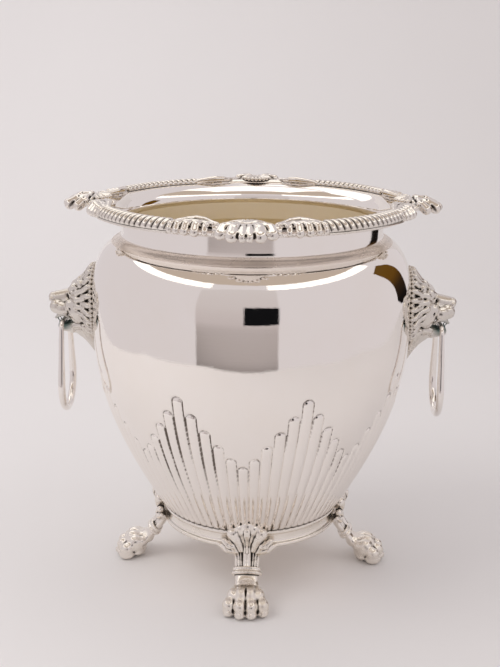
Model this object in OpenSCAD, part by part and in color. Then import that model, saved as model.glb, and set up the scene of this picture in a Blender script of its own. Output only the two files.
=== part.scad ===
// Silver champagne bucket: raised bowl, collar with flared lip, cast border of shells and gadroons,
// base ring, four paw feet, and two lion masks that carry drop-ring handles.
// Millimetres. +Z is up, the floor is Z = 0, the bowl's axis is the Z axis.
// -Y is the front, +X is the right-hand mask and -X the left-hand mask.

/* [Bowl] */
// Largest outside radius of the bowl
belly_r = 106.8; // [80:0.1:140]
// Height of the widest part of the bowl
belly_z = 175; // [140:1:200]
// Height where the shoulder starts to turn in
shoulder_z = 196; // [180:1:210]
// Height of the bowl's lip, where the collar is soldered on
lip_z = 232; // [215:0.5:245]
// Outside radius of the bowl at its lip
lip_r = 88.4; // [70:0.1:110]
// Outside radius of the bowl where it sits on the base ring
seat_r = 61; // [45:0.1:80]
// Height where the bowl sits on the base ring
seat_z = 46.5; // [35:0.5:60]
// Thickness of the bowl's wall
wall = 1.6; // [1:0.1:3]

/* [Collar and lip] */
// Outside radius of the straight collar
collar_r = 86.7; // [70:0.1:110]
// Height where the collar starts to flare
flare_z = 243.5; // [235:0.5:250]
// Height of the lip's flat top, under the border
flange_z = 254.4; // [248:0.1:262]
// Radius of the lip's edge
flange_r = 104.6; // [95:0.1:120]
// Thickness of the collar's wall
collar_t = 1.5; // [1:0.1:3]

/* [Border] */
// Outside radius of the gadroon border
border_r = 106.2; // [98:0.1:125]
// Inside radius of the border
border_in = 97; // [90:0.1:105]
// Height of the border's top
border_top = 257.8; // [250:0.1:265]
// Height of the border's lower edge
border_low = 250; // [244:0.1:256]
// Radius from the axis to the tip of each shell
shell_tip = 125; // [110:0.5:140]
// Half the angle that one shell and its scrolls take up
shell_half_deg = 27; // [20:0.5:40]
// Number of ribs in one shell
shell_ribs = 7; // [5:1:9]
// Number of lobes in one gadroon section
gadroon_n = 14; // [8:1:20]

/* [Base ring] */
// Height of the base ring's lower edge
ring_low = 34.3; // [20:0.1:45]
// Inside radius of the base ring
ring_in = 56.6; // [40:0.1:75]
// Outside radius of the base ring's beads
ring_out = 60.9; // [45:0.1:80]

/* [Feet] */
// Radius from the axis to the middle of the toes
toe_at = 90.2; // [70:0.1:110]
// Radius of each toe
toe_r = 4.9; // [3:0.1:7]
// Distance between neighbouring toes
toe_pitch = 6.6; // [5:0.1:9]
// Radius from the axis to the knee
knee_at = 58; // [50:0.1:80]
// Height of the knee
knee_z = 40; // [25:0.1:50]

/* [Masks and rings] */
// Height of the middle of the lion's mane collar
mane_z = 187.5; // [170:0.5:200]
// Radius of the mane collar
mane_r = 24.5; // [18:0.1:32]
// Radius from the axis to the tip of the lion's snout
snout_at = 137.8; // [120:0.1:150]
// Radius from the axis to the line the ring turns on
pivot_x = 127; // [115:0.1:140]
// Height of the line the ring turns on
pivot_z = 173.5; // [150:0.1:190]
// Radius of the hole through the lion's mouth
mouth_r = 2.4; // [2:0.1:5]
// Radius of the ring's wire where it passes through the mouth
wire_top = 1.65; // [1:0.05:2.4]
// Radius of the ring's wire at the bottom of the drop
wire_low = 2.5; // [1.2:0.05:4]
// Half width of the ring just below the mouth
drop_top = 14.5; // [10:0.1:25]
// Half width of the ring at its widest
drop_low = 20.5; // [12:0.1:30]
// Depth of the ring's lower arc centre below the mouth
drop_depth = 42; // [30:0.5:70]

/* [Hidden] */
$fn = 96;
silver = [0.86, 0.85, 0.82];
pale = [0.80, 0.79, 0.77];
steps_low = 18;
steps_top = 12;
ring_r0 = 53.9;
ring_z0 = 36;

// Outside radius of the bowl's swelling lower part at height z
function low_r(z) = ring_r0 + (belly_r - ring_r0) * pow(sin(90 * (z - ring_z0) / (belly_z - ring_z0)), 0.93);
// Outside radius of the shoulder at height z
function top_r(z) = let(t = (z - shoulder_z) / (lip_z - shoulder_z)) lip_r - 2 + (belly_r - lip_r + 2) * sqrt(max(0, 1 - t * t));
function wall_r(z) = z < belly_z ? low_r(z) : (z < shoulder_z ? belly_r : top_r(z));
low_z = [for (i = [0:steps_low]) seat_z + (belly_z - seat_z) * i / steps_low];
top_z = [for (i = [0:steps_top]) shoulder_z + (lip_z - shoulder_z) * sin(90 * i / steps_top)];
all_z = concat(low_z, top_z);
outer = [for (z = all_z) [max(wall_r(z), z > shoulder_z ? lip_r : 0), z]];
// Unit vector that points into the metal at point i of the outside curve
function inward(i) = let(a = outer[max(i - 1, 0)], b = outer[min(i + 1, len(outer) - 1)], d = b - a, n = norm(d)) [-d[1] / n, d[0] / n];
inner = [for (i = [len(outer) - 2:-1:1]) let(n = inward(i)) [outer[i][0] + wall * n[0], outer[i][1] + wall * n[1] * (outer[i][1] > belly_z ? -1 : -1)]];

module turn(a) { rotate([0, 0, a]) children(); }

// Solid inside the bowl's outside surface, pulled in by a hair so that castings bed on the wall
module bowl_core(inset = 0.25) {
  rotate_extrude() polygon(concat([[0, seat_z]], [for (p = outer) [p[0] - inset, p[1]]], [[0, lip_z]]));
}

module bowl() {
  color(silver) rotate_extrude() polygon(concat(
    [[0, 41.6], [54, 41.6], [ring_in - 0.3, 43.2], [ring_in - 0.3, seat_z]],
    outer,
    [[collar_r - collar_t, lip_z], [collar_r - collar_t, lip_z - wall]],
    [for (p = inner) if (p[1] > seat_z + 2.6 && p[1] < lip_z - wall - 0.4 && p[0] > collar_r - collar_t || p[1] > seat_z + 2.6 && p[1] < shoulder_z) p],
    [[seat_r - 1.4, seat_z + 2.2], [ring_in - 2.4, 44.9], [53, 43.6], [0, 43.2]]
  ));
}

module neck_collar() {
  ri = collar_r - collar_t;
  fa = flange_z - flare_z;
  fb = border_in + 1 - ri;
  color(silver) rotate_extrude() polygon(concat(
    [[ri, lip_z], [lip_r + 0.6, lip_z], [lip_r + 0.8, lip_z + 0.9], [lip_r - 0.2, lip_z + 1.9], [collar_r, lip_z + 2.6]],
    [for (i = [0:10]) [border_in + 1 - (fb - collar_t) * cos(9 * i), flare_z + (fa - 1.4) * sin(9 * i)]],
    [[flange_r, flange_z - 1.4], [flange_r, flange_z]],
    [for (i = [10:-1:0]) [border_in + 1 - fb * cos(9 * i), flare_z + fa * sin(9 * i)]]
  ));
}

module base_ring() {
  color(pale) rotate_extrude() polygon([
    [ring_in, ring_low], [ring_out - 0.9, ring_low], [ring_out - 0.2, ring_low + 0.7],
    [ring_out - 0.2, ring_low + 2.2], [ring_out - 1.5, ring_low + 3.0], [ring_out - 2.1, ring_low + 4.0],
    [ring_out - 2.3, ring_low + 7.2], [ring_out - 1.8, ring_low + 9.2], [ring_out - 0.5, ring_low + 9.9],
    [ring_out, ring_low + 11], [ring_out - 0.4, seat_z], [ring_in, seat_z]
  ]);
}

// Half-round moulding that caps the lip's edge, over an angle of a degrees
module border_band(a) {
  rotate([0, 0, -a / 2]) rotate_extrude(angle = a) polygon([
    [border_in, flange_z], [border_in, flange_z + 1.2], [border_in + 1.2, border_top - 1.3],
    [border_in + 3.4, border_top - 0.7], [border_in + 6, border_top - 1.2], [border_r - 1.2, border_top - 3.2],
    [border_r - 0.4, border_top - 5.2], [border_r, border_low + 1], [border_r - 0.2, border_low],
    [flange_r + 0.2, border_low], [flange_r + 0.2, flange_z]
  ]);
}

// One gadroon section, centred on +X
module gadroon() {
  span = 90 - 2 * shell_half_deg - 0.4;
  color(pale) union() {
    border_band(span);
    for (i = [0:gadroon_n - 1])
      turn((i + 0.5 - gadroon_n / 2) * (span - 1) / gadroon_n)
        translate([border_in + 4.7, 0, border_top - 2.9]) rotate([14, 42, 0]) {
          cylinder(r = 1.9, h = 7.4, center = true, $fn = 24);
          translate([0, 0, 3.7]) sphere(r = 1.9, $fn = 24);
          translate([0, 0, -3.7]) sphere(r = 1.9, $fn = 24);
        }
  }
}

// One shell with its two scrolls, centred on +X
module shell() {
  hub = border_in - 1;
  rib = 3.3;
  reach = shell_tip - hub - rib;
  color(pale) union() {
    border_band(2 * shell_half_deg - 0.4);
    intersection() {
      translate([hub, 0, border_low + 1.6]) cylinder(r = reach + 1, h = 4.4);
      translate([flange_r + 0.2, -24, border_low]) cube([40, 48, 20]);
    }
    for (i = [0:shell_ribs - 1])
      translate([hub, 0, border_low + 4.3]) turn((i - (shell_ribs - 1) / 2) * 15)
        rotate([0, 90, 0]) {
          translate([0, 0, 9]) cylinder(r1 = 1.2, r2 = rib, h = reach - 9, $fn = 32);
          translate([0, 0, reach]) sphere(r = rib, $fn = 32);
        }
    for (s = [-1, 1]) {
      turn(s * 15) translate([border_r - 1.5, 0, border_low + 0.6]) cylinder(r = 4.2, h = 6.2, $fn = 32);
      turn(s * 22.5) translate([border_r - 2.5, 0, border_low + 0.6]) cylinder(r = 3.4, h = 5.8, $fn = 32);
    }
  }
}

// One cast foot, centred on +X: acanthus knee, flattened leg, anklet and four-toed paw
module foot() {
  tilt = 153.4;
  color(pale) difference() {
    union() {
      translate([knee_at, 0, knee_z]) sphere(r = 9.4);
      rotate([0, 0, -20]) rotate_extrude(angle = 40) polygon([
        [ring_out - 0.1, ring_low - 1], [ring_out + 1.6, ring_low], [ring_out + 2, ring_low + 5],
        [ring_out + 1.4, seat_z - 2], [ring_out - 0.1, seat_z - 0.8]]);
      for (y = [-3.5, 0, 3.5]) {
        translate([knee_at + 2.5, y, knee_z - 2]) rotate([0, tilt, 0]) cylinder(r = 4.3 - abs(y) * 0.08, h = 26 - abs(y) * 0.1);
        translate([knee_at + 8, y * 1.1, knee_z - 13.2]) rotate([0, tilt, 0]) translate([0, 0, abs(y) * 0.03]) cylinder(r = 5.7 - abs(y) * 0.06, h = 2.8 - abs(y) * 0.06);
      }
      translate([80, 0, 9.6]) sphere(r = 9);
      for (s = [-1, 1]) {
        translate([81.5, s * 5.6, 8.3]) sphere(r = 8.1);
        translate([86.5, s * 3.4, 11.2]) sphere(r = 4.9);
        translate([85.7, s * 9.7, 10.1]) sphere(r = 4.5);
      }
      for (i = [-1.5:1:1.5])
        translate([toe_at, i * toe_pitch, 4.3]) sphere(r = toe_r - abs(i) * 0.25);
    }
    translate([0, -40, -20]) cube([140, 80, 20]);
    bowl_core();
    translate([0, 0, ring_low - 4]) cylinder(r = ring_out - 0.9, h = seat_z - ring_low + 4);
  }
}

// One lion mask, centred on +X, cross-bored through the mouth
module lion_mask() {
  color(silver) difference() {
    union() {
      translate([98, 0, mane_z]) rotate([0, 90, 0]) cylinder(r1 = mane_r + 0.5, r2 = mane_r - 2, h = 13);
      translate([100, 0, mane_z]) sphere(r = 20.6);
      translate([109.5, 0, mane_z - 0.3]) sphere(r = 12.8);
      translate([snout_at - 9.5, 0, mane_z - 3.5]) sphere(r = 9.5);
      for (s = [-1, 1]) {
        translate([115, s * 7.4, mane_z - 9]) sphere(r = 8.8);
        translate([111.5, s * 12, mane_z + 9.4]) sphere(r = 5.8);
      }
      for (y = [-3.6, 0, 3.6]) translate([pivot_x - 1.6, y, pivot_z - 0.5]) sphere(r = 5.9 - abs(y) * 0.06);
      translate([105.6, 0, 147.5]) cylinder(r1 = 1.5, r2 = 7.5, h = 18);
      translate([104.6, 0, mane_z + 18]) cylinder(r1 = 6, r2 = 1.2, h = 8.5);
    }
    bowl_core();
    translate([0, 0, lip_z - 40]) cylinder(r = collar_r, h = 60);
    translate([pivot_x, 0, pivot_z]) rotate([90, 0, 0]) cylinder(r = mouth_r, h = 60, center = true, $fn = 48);
  }
}

// One drop ring, centred on +X, hanging from the mouth
module ring_handle() {
  bend = 5;
  run = drop_depth - bend;
  lean = atan((drop_low - drop_top) / run);
  color(silver) translate([pivot_x, 0, pivot_z]) union() {
    rotate([90, 0, 0]) cylinder(r = wire_top, h = 2 * (drop_top - bend) + 0.4, center = true, $fn = 48);
    for (s = [0, 1]) mirror([0, s, 0]) {
      translate([0, drop_top - bend, -bend]) rotate([90, 0, 90]) rotate_extrude(angle = 90)
        translate([bend, 0]) circle(r = wire_top + 0.03, $fn = 48);
      translate([0, drop_top, -bend]) sphere(r = wire_top + 0.12, $fn = 48);
      translate([0, drop_top, -bend]) rotate([180 + lean, 0, 0])
        cylinder(r1 = wire_top, r2 = wire_low, h = run / cos(lean), $fn = 48);
      translate([0, drop_low, -drop_depth]) sphere(r = wire_low + 0.12, $fn = 48);
    }
    translate([0, 0, -drop_depth]) rotate([90, 0, 90]) rotate([0, 0, 180]) rotate_extrude(angle = 180)
      translate([drop_low, 0]) circle(r = wire_low, $fn = 48);
  }
}

bowl();
neck_collar();
base_ring();
turn(-90) shell();  // border_shell_front
turn(90) shell();  // border_shell_back
turn(180) shell();  // border_shell_left
turn(0) shell();  // border_shell_right
turn(-135) gadroon();  // border_gadroon_front_left
turn(-45) gadroon();  // border_gadroon_front_right
turn(135) gadroon();  // border_gadroon_back_left
turn(45) gadroon();  // border_gadroon_back_right
turn(180) lion_mask();  // lion_mask_left
turn(0) lion_mask();  // lion_mask_right
turn(180) ring_handle();  // ring_handle_left
turn(0) ring_handle();  // ring_handle_right
turn(-90) foot();  // foot_front
turn(90) foot();  // foot_back
turn(180) foot();  // foot_left
turn(0) foot();  // foot_right
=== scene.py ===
import math

import bpy
import numpy as np
from mathutils import Matrix, Vector


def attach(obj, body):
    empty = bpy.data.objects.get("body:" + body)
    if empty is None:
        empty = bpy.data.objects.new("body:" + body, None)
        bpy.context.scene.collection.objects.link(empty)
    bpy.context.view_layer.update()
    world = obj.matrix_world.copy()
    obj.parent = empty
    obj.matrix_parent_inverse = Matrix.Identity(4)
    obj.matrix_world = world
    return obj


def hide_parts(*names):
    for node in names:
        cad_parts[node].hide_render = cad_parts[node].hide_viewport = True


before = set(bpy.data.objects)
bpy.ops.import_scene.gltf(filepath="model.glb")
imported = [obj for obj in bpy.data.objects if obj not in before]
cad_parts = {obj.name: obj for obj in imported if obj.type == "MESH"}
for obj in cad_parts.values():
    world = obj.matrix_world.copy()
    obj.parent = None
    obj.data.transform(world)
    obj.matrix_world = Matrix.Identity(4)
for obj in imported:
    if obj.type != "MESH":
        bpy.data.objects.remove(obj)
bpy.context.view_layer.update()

VESSEL = "vessel"
MM = 0.001
rng = np.random.default_rng(7)

# ------------------------------------------------------------------ camera
CAM_X, CAM_Y, CAM_Z = 20.5, -727.2, 364.3
PITCH, YAW, ROLL = math.radians(15.345), math.radians(-1.69), math.radians(0.41)
cam_data = bpy.data.cameras.new("photo_camera")
cam_data.sensor_fit = "AUTO"
cam_data.sensor_width = 36.0
cam_data.lens = 59.81
cam_data.clip_start = 0.05
cam = bpy.data.objects.new("photo_camera", cam_data)
bpy.context.collection.objects.link(cam)
fwd = Vector((math.sin(YAW) * math.cos(PITCH), math.cos(YAW) * math.cos(PITCH), -math.sin(PITCH)))
right = Vector((math.cos(YAW), -math.sin(YAW), 0.0))
up = right.cross(fwd)
r2 = right * math.cos(ROLL) + up * math.sin(ROLL)
u2 = up * math.cos(ROLL) - right * math.sin(ROLL)
m = Matrix((r2, u2, -fwd)).transposed().to_4x4()
m.translation = Vector((CAM_X, CAM_Y, CAM_Z)) * MM
cam.matrix_world = m
bpy.context.scene.camera = cam


# ------------------------------------------------------------------ mesh helpers
def make_object(name, verts, faces, mats, attrs=None, smooth=True, face_mat=None):
    """verts in millimetres."""
    me = bpy.data.meshes.new(name)
    v = np.asarray(verts, dtype=np.float64) * MM
    faces = np.asarray(faces, dtype=np.int32)
    n, k = faces.shape
    me.vertices.add(len(v))
    me.vertices.foreach_set("co", v.astype(np.float32).ravel())
    me.loops.add(n * k)
    me.loops.foreach_set("vertex_index", faces.ravel())
    me.polygons.add(n)
    me.polygons.foreach_set("loop_start", np.arange(0, n * k, k, dtype=np.int32))
    if smooth:
        me.polygons.foreach_set("use_smooth", np.ones(n, dtype=bool))
    for mt in mats:
        me.materials.append(mt)
    if face_mat is not None:
        me.polygons.foreach_set("material_index", np.asarray(face_mat, dtype=np.int32))
    me.update(calc_edges=True)
    me.validate()
    for key, values in (attrs or {}).items():
        a = me.attributes.new(key, "FLOAT", "POINT")
        a.data.foreach_set("value", np.asarray(values, dtype=np.float32))
    ob = bpy.data.objects.new(name, me)
    bpy.context.collection.objects.link(ob)
    return ob


def grid_faces(rows, cols, wrap):
    """Quads of a rows x cols vertex grid, closed along the columns when wrap is set."""
    c = np.arange(cols if wrap else cols - 1)
    r = np.arange(rows - 1)
    C, R = np.meshgrid(c, r)
    C2 = (C + 1) % cols
    return np.stack([R * cols + C, R * cols + C2, (R + 1) * cols + C2, (R + 1) * cols + C], -1).reshape(-1, 4)


def lathe(name, profile, mats, cols=256, attrs=None, flip=False):
    p = np.asarray(profile, dtype=float)
    a = np.linspace(0, 2 * np.pi, cols, endpoint=False)
    v = np.stack([p[:, :1] * np.cos(a), p[:, :1] * np.sin(a), np.repeat(p[:, 1:2], cols, 1)], -1).reshape(-1, 3)
    f = grid_faces(len(p), cols, True)
    if flip:
        f = f[:, ::-1]
    at = {k: np.repeat(np.asarray(x, dtype=float), cols) for k, x in (attrs or {}).items()}
    return make_object(name, v, f, mats, at)


def smooth_profile(points, step=0.6):
    """Catmull-Rom through (r, z) points; a repeated point keeps a corner sharp."""
    P = [np.array(p, dtype=float) for p in points]
    out = []
    for i in range(len(P) - 1):
        p1, p2 = P[i], P[i + 1]
        if np.allclose(p1, p2):
            continue
        p0 = P[i - 1] if i > 0 else 2 * p1 - p2
        p3 = P[i + 2] if i + 2 < len(P) else 2 * p2 - p1
        if i > 0 and np.allclose(p0, p1):
            p0 = 2 * p1 - p2
        if i + 2 < len(P) and np.allclose(p3, p2):
            p3 = 2 * p2 - p1
        n = max(2, int(np.linalg.norm(p2 - p1) / step))
        for t in np.linspace(0, 1, n, endpoint=False):
            out.append(0.5 * (2 * p1 + (p2 - p0) * t + (2 * p0 - 5 * p1 + 4 * p2 - p3) * t * t + (3 * p1 - p0 - 3 * p2 + p3) * t ** 3))
    out.append(P[-1])
    return np.array(out)


# ------------------------------------------------------------------ signed distance modelling
def smin(a, b, k):
    if k <= 0:
        return np.minimum(a, b)
    h = np.clip(0.5 + 0.5 * (b - a) / k, 0, 1)
    return b * (1 - h) + a * h - k * h * (1 - h)


class Clay:
    """A block of space sampled every h millimetres; shapes are pressed together in it and then skinned."""

    def __init__(self, lo, hi, h):
        self.lo = np.array(lo, dtype=float)
        self.h = float(h)
        self.n = np.ceil((np.array(hi, dtype=float) - self.lo) / h).astype(int) + 1
        self.D = np.full(self.n, 40.0, dtype=np.float32)
        self.ax = [(self.lo[i] + np.arange(self.n[i]) * self.h).astype(np.float32) for i in range(3)]

    def window(self, lo, hi):
        s = []
        for i in range(3):
            a = int(np.clip(np.floor((lo[i] - self.lo[i]) / self.h), 0, self.n[i]))
            b = int(np.clip(np.ceil((hi[i] - self.lo[i]) / self.h) + 1, 0, self.n[i]))
            if b <= a:
                return None
            s.append(slice(a, b))
        return tuple(s)

    def coords(self, w):
        return np.meshgrid(self.ax[0][w[0]], self.ax[1][w[1]], self.ax[2][w[2]], indexing="ij", sparse=True)

    def put(self, d, w, k, cut):
        if cut:
            self.D[w] = -smin(-self.D[w], d, k)
        else:
            self.D[w] = smin(self.D[w], d, k)

    def blob(self, c, r, k=1.0, rot=None, cut=False):
        """Ellipsoid with centre c and radii r; rot is a 3x3 whose rows are its axes."""
        c = np.asarray(c, dtype=float)
        r = np.asarray(r if np.ndim(r) else (r, r, r), dtype=float)
        e = (np.abs(rot.T) @ r if rot is not None else r) + 2.2 * k + 2 * self.h + 1.0
        w = self.window(c - e, c + e)
        if w is None:
            return
        X, Y, Z = self.coords(w)
        X, Y, Z = X - c[0], Y - c[1], Z - c[2]
        if rot is not None:
            A = rot[0, 0] * X + rot[0, 1] * Y + rot[0, 2] * Z
            B = rot[1, 0] * X + rot[1, 1] * Y + rot[1, 2] * Z
            C = rot[2, 0] * X + rot[2, 1] * Y + rot[2, 2] * Z
        else:
            A, B, C = X, Y, Z
        k0 = np.sqrt((A / r[0]) ** 2 + (B / r[1]) ** 2 + (C / r[2]) ** 2)
        k1 = np.sqrt((A / r[0] ** 2) ** 2 + (B / r[1] ** 2) ** 2 + (C / r[2] ** 2) ** 2) + 1e-6
        self.put(k0 * (k0 - 1.0) / k1, w, k, cut)

    def rod(self, a, b, ra, rb, k=1.0, cut=False, flat=1.0, side=None):
        """Round-ended cone from a to b. flat < 1 squeezes it along side."""
        a, b = np.asarray(a, dtype=float), np.asarray(b, dtype=float)
        e = max(ra, rb) + 2.2 * k + 2 * self.h + 1.0
        w = self.window(np.minimum(a, b) - e, np.maximum(a, b) + e)
        if w is None:
            return
        X, Y, Z = self.coords(w)
        d = b - a
        L2 = float(d @ d) + 1e-9
        t = np.clip(((X - a[0]) * d[0] + (Y - a[1]) * d[1] + (Z - a[2]) * d[2]) / L2, 0, 1)
        PX, PY, PZ = X - a[0] - t * d[0], Y - a[1] - t * d[1], Z - a[2] - t * d[2]
        q2 = PX * PX + PY * PY + PZ * PZ
        if side is not None and flat != 1.0:
            s = np.asarray(side, dtype=float)
            s = s / np.linalg.norm(s)
            sd = PX * s[0] + PY * s[1] + PZ * s[2]
            q2 = q2 + sd * sd * (1.0 / flat ** 2 - 1.0)
            dist = (np.sqrt(q2) - (ra + (rb - ra) * t)) * flat ** 0.5
        else:
            dist = np.sqrt(q2) - (ra + (rb - ra) * t)
        self.put(dist, w, k, cut)

    def tube(self, pts, radii, k=1.0, cut=False, flat=1.0, side=None):
        pts = np.asarray(pts, dtype=float)
        radii = np.broadcast_to(np.asarray(radii, dtype=float), (len(pts),)) if np.ndim(radii) == 0 else np.asarray(radii, dtype=float)
        for i in range(len(pts) - 1):
            self.rod(pts[i], pts[i + 1], radii[i], radii[i + 1], k if i == 0 or cut else min(k, 0.35), cut, flat, side)

    def limit(self, f):
        """Keeps only where f(X, Y, Z) is negative."""
        X, Y, Z = np.meshgrid(*self.ax, indexing="ij", sparse=True)
        self.D = np.maximum(self.D, f(X, Y, Z).astype(np.float32))

    def occupancy(self, passes, width):
        o = np.clip(0.5 - self.D / self.h, 0, 1).astype(np.float32)
        for _ in range(passes):
            for ax in range(3):
                c = np.cumsum(np.concatenate([np.repeat(o.take([0], ax), width + 1, ax), o, np.repeat(o.take([-1], ax), width, ax)], ax), ax, dtype=np.float64)
                n = o.shape[ax]
                hi = c.take(range(2 * width + 1, 2 * width + 1 + n), ax)
                lo = c.take(range(0, n), ax)
                o = ((hi - lo) / (2 * width + 1)).astype(np.float32)
        return o

    def sample(self, F, v):
        p = (v - self.lo) / self.h
        i = np.clip(np.floor(p).astype(int), 0, self.n - 2)
        f = np.clip(p - i, 0, 1)
        out = 0
        for a in (0, 1):
            for b in (0, 1):
                for c in (0, 1):
                    wgt = (f[:, 0] if a else 1 - f[:, 0]) * (f[:, 1] if b else 1 - f[:, 1]) * (f[:, 2] if c else 1 - f[:, 2])
                    out = out + wgt * F[i[:, 0] + a, i[:, 1] + b, i[:, 2] + c]
        return out

    def skin(self, relax=1):
        """Surface nets. Returns vertices, quads and how deep in a crevice each vertex lies (0 to 1), used for tarnish
        and painted crevice shade.
        """
        D = self.D
        D[0], D[-1], D[:, 0], D[:, -1], D[:, :, 0], D[:, :, -1] = 9, 9, 9, 9, 9, 9
        inside = D < 0
        n = np.array(D.shape)
        cnt = np.zeros(n - 1, dtype=np.int8)
        for a in (0, 1):
            for b in (0, 1):
                for c in (0, 1):
                    cnt += inside[a:n[0] - 1 + a, b:n[1] - 1 + b, c:n[2] - 1 + c]
        act = (cnt > 0) & (cnt < 8)
        I = np.argwhere(act)
        idx = np.full(act.shape, -1, dtype=np.int64)
        idx[act] = np.arange(len(I))
        acc = np.zeros((len(I), 3))
        num = np.zeros(len(I))
        corners = [(a, b, c) for a in (0, 1) for b in (0, 1) for c in (0, 1)]
        for p in corners:
            for ax in range(3):
                if p[ax]:
                    continue
                q = list(p)
                q[ax] = 1
                d0 = D[I[:, 0] + p[0], I[:, 1] + p[1], I[:, 2] + p[2]]
                d1 = D[I[:, 0] + q[0], I[:, 1] + q[1], I[:, 2] + q[2]]
                hit = (d0 < 0) != (d1 < 0)
                t = np.where(hit, d0 / np.where(hit, d0 - d1, 1), 0)
                pt = np.array(p, dtype=float)[None, :].repeat(len(I), 0)
                pt[:, ax] = t
                acc += pt * hit[:, None]
                num += hit
        v = self.lo + (I + acc / num[:, None]) * self.h
        quads = []
        for ax in range(3):
            o1, o2 = [(1, 2), (2, 0), (0, 1)][ax]
            sl0 = [slice(1, -1)] * 3
            sl1 = [slice(1, -1)] * 3
            sl0[ax] = slice(0, -1)
            sl1[ax] = slice(1, None)
            s0, s1 = inside[tuple(sl0)], inside[tuple(sl1)]
            E = np.argwhere(s0 != s1)
            base = E + 1
            base[:, ax] -= 1
            flip = s1[tuple(E.T)]
            cells = []
            for (da, db) in ((-1, -1), (0, -1), (0, 0), (-1, 0)):
                c = base.copy()
                c[:, o1] += da
                c[:, o2] += db
                cells.append(idx[c[:, 0], c[:, 1], c[:, 2]])
            Q = np.stack(cells, 1)
            Q[flip] = Q[flip][:, ::-1]
            quads.append(Q)
        F = np.concatenate(quads)
        F = F[(F >= 0).all(1)]
        for _ in range(relax):
            s = np.zeros_like(v)
            c = np.zeros(len(v))
            for i in range(4):
                a, b = F[:, i], F[:, (i + 1) % 4]
                np.add.at(s, a, v[b])
                np.add.at(c, a, 1)
                np.add.at(s, b, v[a])
                np.add.at(c, b, 1)
            v = v * 0.5 + 0.5 * s / c[:, None]
        # blurred occupancy round each vertex is an ambient-occlusion measure: it is painted into the colour as crevice
        # shade, on top of real tarnish
        fine = self.sample(self.occupancy(2, 1), v)
        wide = self.sample(self.occupancy(2, max(2, int(round(1.3 / self.h)))), v)
        dirt = np.clip((fine - 0.5) * 3.0, 0, 1) * 0.6 + np.clip((wide - 0.50) * 3.2, 0, 1) * 0.9
        return v, F, np.clip(dirt, 0, 1)


# ------------------------------------------------------------------ materials
class Nodes:
    def __init__(self, name):
        self.mat = bpy.data.materials.new(name)
        self.mat.use_nodes = True
        self.nt = self.mat.node_tree
        self.nt.nodes.clear()
        self.out = self.nt.nodes.new("ShaderNodeOutputMaterial")
        self.p = self.nt.nodes.new("ShaderNodeBsdfPrincipled")
        self.nt.links.new(self.p.outputs[0], self.out.inputs[0])

    def new(self, kind, **inputs):
        n = self.nt.nodes.new(kind)
        for k, val in inputs.items():
            if k.startswith("_"):
                setattr(n, k[1:], val)
        for k, val in inputs.items():
            if not k.startswith("_"):
                sock = n.inputs[int(k[1:])] if k[0] == "i" and k[1:].isdigit() else n.inputs[k.replace("__", " ")]
                if isinstance(val, bpy.types.NodeSocket):
                    self.nt.links.new(val, sock)
                else:
                    sock.default_value = val
        return n

    def link(self, a, b):
        self.nt.links.new(a, b)

    def ramp(self, fac, stops):
        n = self.new("ShaderNodeValToRGB", i0=fac)
        e = n.color_ramp.elements
        while len(e) < len(stops):
            e.new(0.5)
        for el, (pos, col) in zip(e, stops):
            el.position = pos
            el.color = (col, col, col, 1) if not np.ndim(col) else (*col, 1)
        return n.outputs[0]

    def math(self, op, a, b=0.0, c=0.0, clamp=False):
        n = self.new("ShaderNodeMath", _operation=op, _use_clamp=clamp)
        for i, x in enumerate((a, b, c)):
            if isinstance(x, bpy.types.NodeSocket):
                self.link(x, n.inputs[i])
            else:
                n.inputs[i].default_value = x
        return n.outputs[0]

    def mix(self, fac, a, b):
        n = self.new("ShaderNodeMix", _data_type="RGBA")
        for s, x in ((n.inputs[0], fac), (n.inputs[6], a), (n.inputs[7], b)):
            if isinstance(x, bpy.types.NodeSocket):
                self.link(x, s)
            else:
                s.default_value = x if not np.ndim(x) or len(x) == 4 else (*x, 1)
        return n.outputs[2]


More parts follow.
